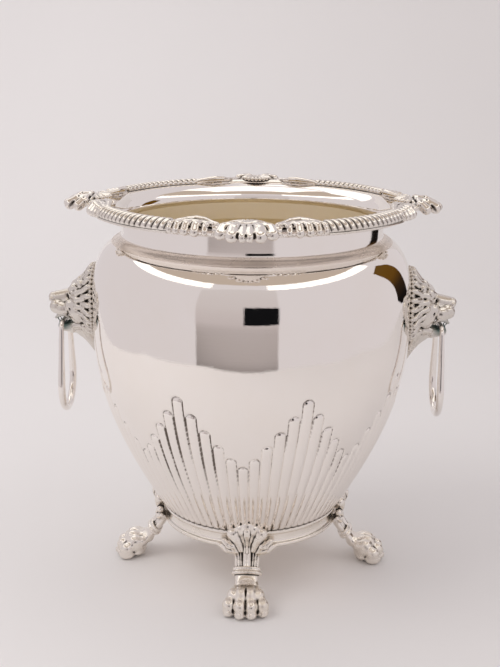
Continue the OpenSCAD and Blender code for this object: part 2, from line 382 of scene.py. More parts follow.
def silver(name, clean=(0.90, 0.885, 0.86), dark=(0.055, 0.045, 0.038), rough=(0.05, 0.16), worn=0.25, scratch=0.5, lines=0.0, dirt=1.0, dark_rough=0.5, verdigris=False, metal=1.0):
    """Polished silver plate: bright metal, dark tarnish and painted shade kept in the crevices, faint cloudy tarnish,
    wiping scratches.
    """
    g = Nodes(name)
    co = g.new("ShaderNodeTexCoord").outputs["Object"]
    cloud = g.new("ShaderNodeTexNoise", Vector=co, Scale=38.0, Detail=5.0, Roughness=0.62).outputs[0]
    speck = g.new("ShaderNodeTexNoise", Vector=co, Scale=420.0, Detail=4.0, Roughness=0.7).outputs[0]
    broad = g.new("ShaderNodeTexNoise", Vector=co, Scale=11.0, Detail=3.0, Roughness=0.5).outputs[0]
    crev = g.new("ShaderNodeAttribute", _attribute_name="dirt").outputs["Fac"]
    # tarnish and painted shade in the crevices, broken up by noise
    c1 = g.math("MULTIPLY_ADD", g.math("SUBTRACT", speck, 0.5), 0.30, crev)
    c2 = g.math("MULTIPLY_ADD", g.math("SUBTRACT", cloud, 0.5), 0.35, c1)
    mask = g.math("MULTIPLY", g.ramp(c2, [(0.22, 0.0), (0.62, 1.0)]), dirt, clamp=True)
    # thin warm film on the open metal
    film = g.ramp(g.math("MULTIPLY", cloud, broad), [(0.20, 0.0), (0.42, 1.0)])
    filmed = tuple(c * f for c, f in zip(clean, (0.955, 0.93, 0.885)))
    base = g.mix(g.math("MULTIPLY", film, worn), clean, filmed)
    col = g.mix(mask, base, dark)
    if verdigris:
        # blue-green bloom round the bored mouth, where the ring rubs
        sep = g.new("ShaderNodeSeparateXYZ", Vector=co)
        x = g.math("SUBTRACT", g.math("ABSOLUTE", sep.outputs[0]), 0.1270)
        y = g.math("MULTIPLY", sep.outputs[1], 0.55)
        z = g.math("SUBTRACT", sep.outputs[2], 0.1728)
        d = g.math("SQRT", g.math("ADD", g.math("ADD", g.math("MULTIPLY", x, x), g.math("MULTIPLY", y, y)), g.math("MULTIPLY", z, z)))
        d = g.math("MULTIPLY_ADD", g.math("SUBTRACT", cloud, 0.5), 0.006, d)
        bloom = g.ramp(d, [(0.0042, 1.0), (0.0075, 0.0)])
        col = g.mix(g.math("MULTIPLY", bloom, 0.85), col, g.mix(speck, (0.015, 0.05, 0.045), (0.05, 0.17, 0.15)))
        mask = g.math("MAXIMUM", mask, g.math("MULTIPLY", bloom, 0.8))
    g.link(col, g.p.inputs["Base Color"])
    g.p.inputs["Metallic"].default_value = metal
    r0 = g.math("MULTIPLY_ADD", g.ramp(cloud, [(0.35, 0.0), (0.75, 1.0)]), rough[1] - rough[0], rough[0])
    g.link(g.math("MULTIPLY_ADD", mask, dark_rough, r0, clamp=True), g.p.inputs["Roughness"])
    # wiping scratches in two directions, and a faint hand-raised unevenness
    sc1 = g.new("ShaderNodeMapping", Vector=co, Rotation=(0.3, 0.5, 0.2), Scale=(1.0, 1.0, 22.0)).outputs[0]
    sc2 = g.new("ShaderNodeMapping", Vector=co, Rotation=(-0.5, 0.2, 0.9), Scale=(18.0, 1.0, 1.0)).outputs[0]
    n1 = g.new("ShaderNodeTexNoise", Vector=sc1, Scale=160.0, Detail=2.0, Roughness=0.5).outputs[0]
    n2 = g.new("ShaderNodeTexNoise", Vector=sc2, Scale=130.0, Detail=2.0, Roughness=0.5).outputs[0]
    h = g.math("MULTIPLY", g.math("ADD", n1, n2), scratch)
    if lines > 0:
        ln = g.new("ShaderNodeMapping", Vector=co, Scale=(1.0, 1.0, 60.0)).outputs[0]
        n3 = g.new("ShaderNodeTexNoise", Vector=ln, Scale=28.0, Detail=3.0, Roughness=0.6).outputs[0]
        h = g.math("MULTIPLY_ADD", n3, lines, h)
    b1 = g.new("ShaderNodeBump", Height=h)
    b1.inputs["Strength"].default_value = 0.05
    b1.inputs["Distance"].default_value = 0.0002
    b2 = g.new("ShaderNodeBump", Height=broad, Normal=b1.outputs[0])
    b2.inputs["Strength"].default_value = 0.05
    b2.inputs["Distance"].default_value = 0.002
    g.link(b2.outputs[0], g.p.inputs["Normal"])
    return g.mat


def gilt(name):
    g = Nodes(name)
    co = g.new("ShaderNodeTexCoord").outputs["Object"]
    cloud = g.new("ShaderNodeTexNoise", Vector=co, Scale=24.0, Detail=6.0, Roughness=0.6).outputs[0]
    ringmap = g.new("ShaderNodeMapping", Vector=co, Scale=(1.0, 1.0, 45.0)).outputs[0]
    fine = g.new("ShaderNodeTexNoise", Vector=ringmap, Scale=26.0, Detail=3.0, Roughness=0.6).outputs[0]
    col = g.mix(g.ramp(cloud, [(0.35, 0.0), (0.7, 1.0)]), (0.955, 0.875, 0.725), (0.93, 0.84, 0.635))
    g.link(col, g.p.inputs["Base Color"])
    g.p.inputs["Metallic"].default_value = 0.62
    g.link(g.math("MULTIPLY_ADD", cloud, 0.30, 0.20), g.p.inputs["Roughness"])
    b = g.new("ShaderNodeBump", Height=fine)
    b.inputs["Strength"].default_value = 0.12
    b.inputs["Distance"].default_value = 0.0003
    g.link(b.outputs[0], g.p.inputs["Normal"])
    return g.mat


SILVER = silver("polished_silver_bowl", clean=(0.945, 0.905, 0.865), rough=(0.012, 0.055), lines=0.25, dark=(0.16, 0.135, 0.115), dark_rough=0.35)
COLLAR = silver("polished_silver_collar", clean=(0.945, 0.905, 0.865), rough=(0.05, 0.12), lines=1.2, dark=(0.14, 0.11, 0.09))
FILLET = silver("solder_fillet_silver", clean=(0.86, 0.775, 0.70), rough=(0.20, 0.34), lines=2.5, worn=0.9, dark=(0.30, 0.23, 0.18), dark_rough=0.2, metal=0.6)
CAST = silver("cast_silver", clean=(0.90, 0.855, 0.80), rough=(0.17, 0.33), worn=0.8)
BORDER = silver("cast_silver_border", clean=(0.85, 0.805, 0.755), rough=(0.11, 0.25), worn=0.8, dark=(0.045, 0.037, 0.031))
MASK = silver("cast_silver_masks", clean=(0.74, 0.70, 0.65), rough=(0.18, 0.34), worn=0.9, dark=(0.030, 0.026, 0.022), verdigris=True)
RING = silver("polished_silver_rings", clean=(0.90, 0.86, 0.825), rough=(0.08, 0.17), worn=0.6, lines=0.6)
GILT = gilt("gilt_interior")

# ------------------------------------------------------------------ bowl
BELLY_R, BELLY_Z, SHOULDER_Z, LIP_Z, LIP_R, SEAT_R, SEAT_Z, WALL = 106.8, 175.0, 196.0, 232.0, 88.4, 61.0, 46.5, 1.6


def wall_r(z):
    z = np.asarray(z, dtype=float)
    low = 53.9 + (BELLY_R - 53.9) * np.sin(np.pi / 2 * np.clip((z - 36) / (BELLY_Z - 36), 0, 1)) ** 0.93
    t = np.clip((z - SHOULDER_Z) / (LIP_Z - SHOULDER_Z), 0, 1)
    top = LIP_R - 2 + (BELLY_R - LIP_R + 2) * np.sqrt(1 - t * t)
    return np.where(z < SHOULDER_Z, low, np.maximum(top, LIP_R))


N_FLUTE = 80
FLUTE_TOPS = np.array([103.6, 109.8, 119.2, 129.3, 139.6, 150.4])
PER = 12
FLUTE_SHIFT = -1.3


def flute_relief(psi, z, r):
    """Relief in mm at azimuth psi (degrees from the front) and height z; also how deep the groove is, 0 to 1."""
    pitch = 360.0 / N_FLUTE
    i = np.round(psi / pitch)
    k = np.mod(i, 10)
    k = np.minimum(k, 10 - k).astype(int)
    top = FLUTE_TOPS[k]
    half = r * math.radians(pitch / 2)
    x = (psi - i * pitch) / (pitch / 2) * half
    a = half * 0.93
    b = np.minimum(4.4, a * 1.05)
    zz = np.maximum(z - (top - b), 0) / b
    q = np.sqrt((x / a) ** 2 + zz ** 2)
    e = (1 - q)  # 1 on the crest line, 0 on the outline
    ins = np.sqrt(np.clip(1 - (1 - np.clip(e, 0, 1)) ** 1.9, 0, 1))
    deep = 1.35 * (r / 104.0) ** 0.8
    crest = 0.45
    inside = -deep + (deep + crest) * ins
    out_mm = np.clip(-e, 0, 5) * a
    outside = -deep * np.exp(-(out_mm / 0.45) ** 1.3)
    d = np.where(e > 0, inside, outside)
    # plain wall above the outline: only the line round each arch is chased
    groove = np.where(e > 0, np.exp(-(np.clip(e, 0, 1) / 0.16) ** 1.5), np.exp(-(out_mm / 0.5) ** 1.5))
    return d, groove


def build_bowl():
    u = np.linspace(-1, 1, PER, endpoint=False) + 1.0 / PER
    t = np.sin(np.pi / 2 * u) * 0.55 + u * 0.45
    pitch = 360.0 / N_FLUTE
    psi = (np.arange(N_FLUTE)[:, None] * pitch + t[None, :] * pitch / 2).ravel()
    z = np.concatenate([
        np.linspace(SEAT_Z - 0.2, 98, 30, endpoint=False),
        np.linspace(98, 153, 78, endpoint=False),
        np.linspace(153, 196, 16, endpoint=False),
        SHOULDER_Z + (LIP_Z - SHOULDER_Z) * np.sin(np.linspace(0, np.pi / 2, 22)),
    ])
    P, Z = np.meshgrid(psi, z)
    R = wall_r(Z)
    d, groove = flute_relief(P, Z, R)
    fade = np.clip((Z - SEAT_Z) / 3.0, 0.25, 1)
    d = d * fade
    shift = math.radians(FLUTE_SHIFT)
    ang = np.radians(P) + shift
    dr = np.gradient(wall_r(z), z)[:, None]
    nl = np.sqrt(1 + dr ** 2)
    Rn = R + d / nl
    Zn = Z - d * dr / nl
    v = np.stack([Rn * np.sin(ang), -Rn * np.cos(ang), Zn], -1).reshape(-1, 3)
    flute = np.round(P / pitch)
    side = np.sign(P - flute * pitch)
    pick = np.abs(np.sin(flute * 12.9898 + side * 4.1) * 43758.5453) % 1.0
    top = FLUTE_TOPS[np.minimum(np.mod(flute, 10), 10 - np.mod(flute, 10)).astype(int)]
    below = top - Z
    step = np.mod(flute, 10)
    near = np.mod(flute, 80)
    # one side of each flute is darkened further down: painted shade. A group of flutes on the left is darkened most:
    # painted reflection of the dark room. Both sit on top of tarnish in the chased lines.
    shaded_left_flutes = (near > 71) & (near < 78) & (side > 0)
    shaded_side = (shaded_left_flutes | ((step > 1) & (step < 5) & (side > 0))) & (below > 3.0)
    ragged = 0.5 + 0.5 * np.sin(Z * 1.9 + 5 * pick) * np.sin(Z * 3.7 + flute * 2.3) + 0.25 * np.sin(Z * 9.1 + flute)
    reach = np.where(shaded_side, np.where(shaded_left_flutes, 30 + 16 * pick, 15 + 10 * pick), 7 + 10 * pick)
    keep = 0.26 + 0.74 * np.exp(-(np.clip(below - 3, 0, 200) / reach) ** 3.0)
    weight = np.where(shaded_side, np.where(shaded_left_flutes, 1.15, 0.55 + 0.45 * pick), 0.46 + 0.30 * pick)
    dirt = groove * weight * keep * np.clip(0.55 + 0.6 * ragged, 0.3, 1.15)
    # painted shade on the bowl's lower wall just above each of the four feet
    shade_above_feet = np.clip(1 - (Z - SEAT_Z) / 11.0, 0, 1) * np.exp(-(((P + 180) % 90 - 0) / 9.0) ** 2)
    shade_above_feet = np.maximum(shade_above_feet, np.clip(1 - (Z - SEAT_Z) / 11.0, 0, 1) * np.exp(-(((P + 180) % 90 - 90) / 9.0) ** 2))
    dirt = np.clip(dirt + 0.62 * shade_above_feet * (0.40 + groove), 0, 1)
    # painted shade along the bottom edge, where the bowl sits in the base ring
    dirt = np.maximum(dirt, np.clip(1 - (Z - SEAT_Z) / 2.2, 0, 1) * 0.9)
    f = grid_faces(len(z), len(psi), True)
    ob = make_object("bowl_outside", v, f, [SILVER], {"dirt": dirt.ravel()})
    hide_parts("bowl")
    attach(ob, VESSEL)

    zi = np.concatenate([np.linspace(52, 196, 60, endpoint=False), SHOULDER_Z + (LIP_Z - WALL - SHOULDER_Z) * np.sin(np.linspace(0, np.pi / 2, 20))])
    inner = [(0.01, 43.3), (20, 43.3), (40, 43.6), (50, 44.2), (56, 46.6), (60.2, 49.8)] + [(float(min(wall_r(zz) - WALL, 200)), float(zz)) for zz in zi]
    inner = [p for p in inner if p[0] > 85.3 or p[1] < 200] + [(85.3, LIP_Z - WALL)]
    prof = np.array(inner)
    ob = lathe("bowl_gilt_inside", prof, [GILT], 192, {"dirt": np.zeros(len(prof))}, flip=True)
    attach(ob, VESSEL)
    # underside of the bowl, inside the base ring
    prof = np.array([(SEAT_R - 0.3, SEAT_Z - 0.2), (57, SEAT_Z - 0.1), (56.2, 45.5), (55.6, 43.2), (53.5, 41.9), (40, 41.5), (20, 41.3), (0.01, 41.3)])
    ob = lathe("bowl_underside", prof, [CAST], 192, {"dirt": np.full(len(prof), 0.25)}, flip=True)
    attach(ob, VESSEL)


def build_collar():
    out = [(93.5, 229.65), (92.2, 230.6), (90.6, 231.6), (89.0, 232.5), (87.8, 233.4), (87.0, 234.3), (86.6, 235.3), (86.45, 236.5), (86.5, 238.5), (86.65, 241.5), (86.92, 246.0)]
    a = np.radians(np.linspace(0, 90, 12))
    out += [(98 - 11.06 * math.cos(x), 246.5 + 6.5 * math.sin(x)) for x in a] + [(101, 253.1), (104.5, 253.1), (104.5, 253.1), (104.5, 254.3)]
    prof = smooth_profile(out, 0.5)
    # the soldered joint is only a hair line in the fillet
    low = prof[:, 0] < 96
    dirt = (np.exp(-((prof[:, 1] - 231.2) / 0.18) ** 2) * 0.16 + np.exp(-((prof[:, 1] - 233.0) / 0.2) ** 2) * 0.20) * low
    dirt += np.clip((prof[:, 0] - 86.6) / 1.0, 0, 1) * np.clip((235.5 - prof[:, 1]) / 1.5, 0, 1) * np.clip((96.0 - prof[:, 0]) / 3.0, 0, 1) * 0.08
    # painted shade on the flange under the cast border
    dirt += np.clip((prof[:, 0] - 100) / 4, 0, 1) * 0.5
    cut = int(np.argmax((prof[:, 1] > 234.7) & (prof[:, 0] < 90)))
    ob = lathe("solder_fillet", prof[:cut + 1], [FILLET], 256, {"dirt": np.clip(dirt[:cut + 1], 0, 1)})
    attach(ob, VESSEL)
    prof, dirt = prof[cut:], dirt[cut:]
    ob = lathe("collar_outside", prof, [COLLAR], 256, {"dirt": np.clip(dirt, 0, 1)})
    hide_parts("neck_collar")
    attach(ob, VESSEL)
    a = np.radians(np.linspace(0, 90, 24))
    up = [(98 - 12.8 * math.cos(x), 243.5 + 10.9 * math.sin(x)) for x in a]
    prof = np.array([(85.2, 241.5), (85.2, 242.5)] + up + [(100, 254.4), (104.5, 254.4)])
    # the inside of the lip is darker towards its outer edge, under the border: painted shade
    ob = lathe("lip_inside", prof, [SILVER], 256, {"dirt": np.clip((prof[:, 0] - 96.0) / 1.2, 0, 1) * 0.25}, flip=True)
    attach(ob, VESSEL)
    prof = np.array([(85.2, 229.6), (85.2, 234), (85.2, 238), (85.2, 241.5)])
    ob = lathe("collar_gilt_inside", prof, [GILT], 256, {"dirt": np.zeros(4)}, flip=True)
    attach(ob, VESSEL)


def build_base_ring():
    lo, out = 34.3, 60.9
    pts = [(56.6, lo), (56.6, lo), (out - 0.9, lo), (out - 0.1, lo + 0.6), (out + 0.1, lo + 1.3), (out - 0.2, lo + 2.2), (out - 0.9, lo + 2.7), (out - 0.9, lo + 2.7), (out - 1.5, lo + 3.2), (out - 2.0, lo + 4.3), (out - 2.2, lo + 6), (out - 2.1, lo + 7.8), (out - 1.6, lo + 8.9), (out - 1.2, lo + 9.2), (out - 1.2, lo + 9.2),
           (out - 0.2, lo + 9.6), (out + 0.2, lo + 10.5), (out, lo + 11.4), (out - 0.5, lo + 12.0), (out - 0.5, lo + 12.0), (out - 1.5, lo + 12.2)]
    prof = smooth_profile(pts, 0.35)
    z = prof[:, 1]
    # dark lines in the moulding's inner corners: tarnish and painted shade
    dirt = np.exp(-((z - lo - 2.8) / 0.3) ** 2) * 0.42 + np.exp(-((z - lo - 9.1) / 0.3) ** 2) * 0.32 + np.exp(-((z - lo - 12.1) / 0.3) ** 2) * 0.45
    ob = lathe("base_ring_moulding", prof, [CAST], 256, {"dirt": np.clip(dirt, 0, 1)})
    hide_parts("base_ring")
    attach(ob, VESSEL)
    prof = np.array([(56.6, 46.3), (56.6, 40), (56.6, lo)])
    ob = lathe("base_ring_inside", prof, [CAST], 192, {"dirt": np.full(3, 0.3)})
    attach(ob, VESSEL)


# ------------------------------------------------------------------ border
def band_curve(n):
    """Cross-section of the border from its inner top edge, over the top, to its lower edge: (radius, height, arch 0..1)."""
    pts = smooth_profile([(96.8, 254.5), (97.0, 255.6), (98.0, 256.6), (99.6, 257.1), (101.6, 256.8), (103.4, 255.6), (104.7, 254.0), (105.4, 252.4), (105.8, 251.6), (105.8, 251.6), (106.1, 250.9), (106.0, 250.0), (105.4, 249.9), (104.6, 250.2)], 0.3)
    s = np.concatenate([[0], np.cumsum(np.linalg.norm(np.diff(pts, axis=0), axis=1))])
    q = np.linspace(0, s[-1], n)
    return np.stack([np.interp(q, s, pts[:, 0]), np.interp(q, s, pts[:, 1])], 1), q, s[-1]


def gadroon_run(name, node, centre_deg, mirror):
    span, lobes, per = 36.9, 15, 12
    rows = 44
    prof, q, total = band_curve(rows)
    tan = np.gradient(prof, axis=0)
    nrm = np.stack([tan[:, 1] * -1, tan[:, 0]], 1)
    nrm /= np.linalg.norm(nrm, axis=1)[:, None] + 1e-9
    nrm *= np.where((nrm @ np.array([0.3, 1.0])) < -0.2, 1, 1)[:, None]
    ctr = np.array([100.5, 252.5])
    sgn = np.sign(((prof - ctr) * nrm).sum(1))
    nrm *= np.where(sgn == 0, 1, sgn)[:, None]
    cols = lobes * per + 1
    a = np.linspace(-span / 2, span / 2, cols)
    A, Q = np.meshgrid(a, q)
    T = Q / total
    # lobes lean: the inner end of each lobe is pulled along the rim
    lean = 0.9 * (1 - T) * (1 if mirror else -1)
    ph = (A / span * lobes + lean) % 1.0
    x = np.abs(ph - 0.5) * 2
    body = np.sqrt(np.clip(1 - x ** 2.2, 0, 1))
    ends = np.clip((T - 0.06) / 0.12, 0, 1) * np.clip((0.80 - T) / 0.07, 0, 1)
    ends = ends ** 0.6
    grow = 0.65 + 0.45 * np.clip(T / 0.6, 0, 1)
    relief = 1.35 * body * ends * grow - 0.35 * (1 - body) * ends
    edge = np.exp(-((T - 0.82) / 0.02) ** 2)
    relief = relief - 0.25 * edge
    R = prof[:, :1] + relief * nrm[:, :1]
    Z = prof[:, 1:2] + relief * nrm[:, 1:2]
    ang = np.radians(A + centre_deg)
    v = np.stack([R * np.cos(ang), R * np.sin(ang), Z], -1).reshape(-1, 3)
    # darker between the lobes, along the chased edge line and at the inner top edge: tarnish and painted shade
    dirt = (1 - body) ** 0.8 * ends * 0.78 + edge * 0.55 + np.clip(1 - T / 0.05, 0, 1) * 0.5
    # close both ends, which show beside the lower ends of the shells
    V = v.reshape(rows, cols, 3)
    c0, c1 = V[:, :1].mean(0, keepdims=True), V[:, -1:].mean(0, keepdims=True)
    v = np.concatenate([c0 + (V[:, :1] - c0) * 0.03, V, c1 + (V[:, -1:] - c1) * 0.03], 1).reshape(-1, 3)
    dirt = np.concatenate([dirt[:, :1] * 0 + 0.25, dirt, dirt[:, -1:] * 0 + 0.25], 1)
    f = grid_faces(rows, cols + 2, False)
    ob = make_object(name, v, f, [BORDER], {"dirt": np.clip(dirt * 1.15, 0, 1).ravel()})
    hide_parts(node)
    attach(ob, VESSEL)
    return ob


build_bowl()
build_collar()
build_base_ring()
gadroon_run("gadroons_front_left", "border_gadroon_front_left", -135, False)
gadroon_run("gadroons_front_right", "border_gadroon_front_right", -45, True)
gadroon_run("gadroons_back_left", "border_gadroon_back_left", 135, True)
gadroon_run("gadroons_back_right", "border_gadroon_back_right", 45, False)

# ------------------------------------------------------------------ castings
def turned(v, deg):
    a = math.radians(deg)
    c, s = math.cos(a), math.sin(a)
    return np.stack([v[:, 0] * c - v[:, 1] * s, v[:, 0] * s + v[:, 1] * c, v[:, 2]], 1)


def dome(u0, y, z, d):
    """Radial place of a point d mm outside the bowl's wall, at y to the side and height z."""
    return math.sqrt(max((float(wall_r(z)) + d) ** 2 - y * y, 1.0))


def build_foot():
    c = Clay((53.5, -24, -0.6), (98.5, 24, 58), 0.40)
    # shank: a low cabriole sweep, wide across and thin through
    line = [(61.4, 46.0), (60.2, 41.0), (59.9, 36.0), (61.0, 31.4), (63.3, 26.8), (66.8, 21.4), (70.8, 16.8), (75.2, 12.8)]
    wide = [6.6, 7.4, 8.2, 8.4, 8.1, 7.7, 7.4, 7.8]
    for i in range(len(line) - 1):
        (u0, z0), (u1, z1) = line[i], line[i + 1]
        n = np.array([z1 - z0, 0, -(u1 - u0)], dtype=float)
        c.rod((u0, 0, z0), (u1, 0, z1), wide[i], wide[i + 1], 1.0 if i == 0 else 0.6, flat=0.44, side=n)
    # flutes down the shank
    for s in (-1, 1):
        for y0, y1, r, q in ((3.2, 2.5, 0.60, 0.0), (5.2, 4.4, 0.50, 0.5), (7.0, 6.1, 0.42, 1.3)):
            c.tube([(62.9 - q, s * y0, 37), (63.5 - q, s * y0 * 0.98, 33), (65.9 - q, s * (y0 * 0.6 + y1 * 0.4), 28.6), (68.8 - q, s * y1, 24.0)], [r * 0.9, r * 1.25, r * 1.25, r], 0.4, cut=True)
    # acanthus: three-lobed middle leaf lying on the wall, with its boss and stem
    c.blob((62.4, 0, 46.0), (3.6, 8.6, 8.4), 1.0)
    c.blob((64.4, 0, 51.6), (3.4, 4.4, 4.4), 1.6)
    for s in (-1, 1):
        c.blob((63.4, s * 4.9, 49.4), (3.3, 3.3, 3.8), 1.5)
    c.tube([(65.6, 0, 47.5), (63.7, 0, 42.5), (62.7, 0, 37.5), (63.6, 0, 32.0), (66.0, 0, 27.2), (68.4, 0, 23.6)], [3.7, 3.1, 2.7, 2.5, 2.7, 2.9], 1.5)
    for s in (-1, 1):
        c.tube([(68.0, s * 2.9, 52.6), (67.8, s * 2.2, 48.0), (66.3, s * 1.6, 42.5), (65.0, s * 1.2, 37.5), (65.4, s * 1.1, 33)], [0.55, 0.65, 0.50, 0.42, 0.35], 0.35, cut=True)
        c.tube([(66.3, s * 7.0, 49.6), (66.4, s * 5.6, 46.0), (65.6, s * 3.8, 42.0)], [0.7, 0.8, 0.5], 0.35, cut=True)
    c.tube([(69.2, 0, 29.0), (71.2, 0, 25.4)], [0.3, 0.70], 0.3, cut=True)
    c.blob((68.0, 0, 49.2), (1.5, 2.2, 2.6), 0.4)
    for s in (-1, 1):
        # curled side lobes
        c.tube([(63.4, s * 9.2, 45.4), (63.7, s * 7.4, 42.6), (63.7, s * 5.4, 39.0), (63.6, s * 4.0, 34.6)], [3.3, 3.1, 2.5, 1.8], 1.2)
        c.blob((63.3, s * 9.4, 46.2), (3.1, 4.0, 3.9), 1.2)
        for q, r in ((0.0, 0.36), (1.5, 0.34), (-1.5, 0.34)):
            c.tube([(67.0, s * (9.8 + q * 0.75), 46.4 - q * 0.6), (67.0, s * (7.7 + q * 0.65), 42.8 - q * 0.7), (66.3, s * (5.5 + q * 0.45), 38.8 - q * 0.6), (65.8, s * (4.0 + q * 0.2), 35.6)], [r * 0.8, r, r, r * 0.6], 0.3, cut=True)
        # the deep C-groove under each curl
        c.tube([(64.8, s * 13.0, 42.6), (65.8, s * 10.2, 40.8), (66.2, s * 7.4, 38.6), (65.8, s * 6.0, 34.4), (66.8, s * 5.6, 30.5)], [0.6, 0.8, 0.7, 0.5, 0.3], 0.5, cut=True)
        # plump outer leaf that runs out along the base ring
        c.tube([(61.6, s * 7.6, 33.0), (62.6, s * 13.0, 34.9), (60.8, s * 19.4, 38.0)], [3.0, 2.9, 1.3], 0.7)
        c.tube([(61.8, s * 8.4, 34.0), (63.2, s * 12.2, 37.6), (62.2, s * 15.0, 40.6)], [2.8, 2.9, 2.3], 0.7)
        c.tube([(61.8, s * 7.6, 34.6), (63.4, s * 10.0, 37.4), (62.8, s * 11.2, 39.4)], [2.6, 2.6, 2.0], 0.7)
        for tip in ((62.4, s * 17.6, 39.6), (64.8, s * 13.2, 40.0), (63.8, s * 17.0, 37.4)):
            a = np.array((65.2, s * 9.2, 34.4))
            b = np.array(tip)
            c.tube([a, a * 0.45 + b * 0.55 + np.array((1.1, 0, 0)), b + np.array((0.9, 0, 0))], [0.3, 0.5, 0.45], 0.3, cut=True)
    # anklet across the shank: fine upper ring and fuller lower ring
    t = np.linspace(0, 2 * np.pi, 29)
    for cu, cz, ru, ry, r in ((66.5, 22.6, 4.3, 8.6, 0.80), (67.3, 21.5, 4.0, 8.2, 0.90), (68.3, 20.2, 4.5, 8.8, 1.25)):
        pts = np.stack([cu + ru * 0.77 * np.cos(t), ry * np.sin(t), cz + ru * 0.64 * np.cos(t)], 1)
        c.tube(pts, r, 0.3)
    # ankle and the rounded body of the paw
    c.blob((73.6, 0, 13.6), (5.2, 7.9, 4.8), 1.2)
    c.blob((81.8, 0, 9.0), (8.2, 12.2, 8.4), 2.0)
    c.blob((80.0, 0, 3.6), (5.4, 11.0, 3.6), 1.6)
    for y, reach, drop in ((-10.6, -3.2, 1.3), (-3.55, 0.0, 0.0), (3.55, 0.0, 0.0), (10.6, -3.2, 1.3)):
        fan = 0.76 if abs(y) > 5 else 0.88
        k1 = (83.6 + reach * 0.6, y * fan, 13.6 - drop * 1.3)
        k2 = (90.3 + reach, y * 1.02, 7.9 - drop * 0.5)
        c.blob(k1, (4.9, 3.8, 4.4), 1.3)
        c.blob(k2, (4.7, 4.25, 4.7), 1.3)
        c.tube([k1, k2], [3.3, 3.8], 0.8)
        c.blob((90.4 + reach, y * 1.03, 3.2), (5.2, 4.0, 3.2), 1.4)
        c.tube([(76.5, y * fan * 0.88, 13.4 - drop), k1], [3.2, 3.6], 1.0)
        # short claw, set in the front of each toe
        c.tube([(93.2 + reach, y * 1.03, 6.2), (95.2 + reach, y * 1.04, 4.4), (95.7 + reach, y * 1.04, 2.2)], [1.2, 0.95, 0.4], 0.15)
        c.rod((95.6 + reach, y * 1.03 - 0.6, 6.6), (95.6 + reach, y * 1.03 + 0.6, 6.6), 0.75, 0.75, 0.4, cut=True)
    for y in (-7.1, 0.0, 7.1):
        c.tube([(79.5, y * 0.84, 18.0), (85.5, y * 0.90, 16.4), (91.5, y * 1.0, 11.6), (95.4, y * 1.03, 5.0), (94.8, y * 1.03, 0.0)], [0.3, 0.45, 0.5, 0.45, 0.4], 0.9, cut=True)
    c.limit(lambda X, Y, Z: -(Z - 0.02) + 0 * X + 0 * Y)
    # nothing behind the base ring's outer face
    c.limit(lambda X, Y, Z: 58.7 - np.sqrt(X * X + Y * Y) + 0 * Z)
    c.limit(lambda X, Y, Z: np.where(Z > 44.5, (wall_r(Z) - 0.2) - np.sqrt(X * X + Y * Y), -9.0))
    return c.skin(1)


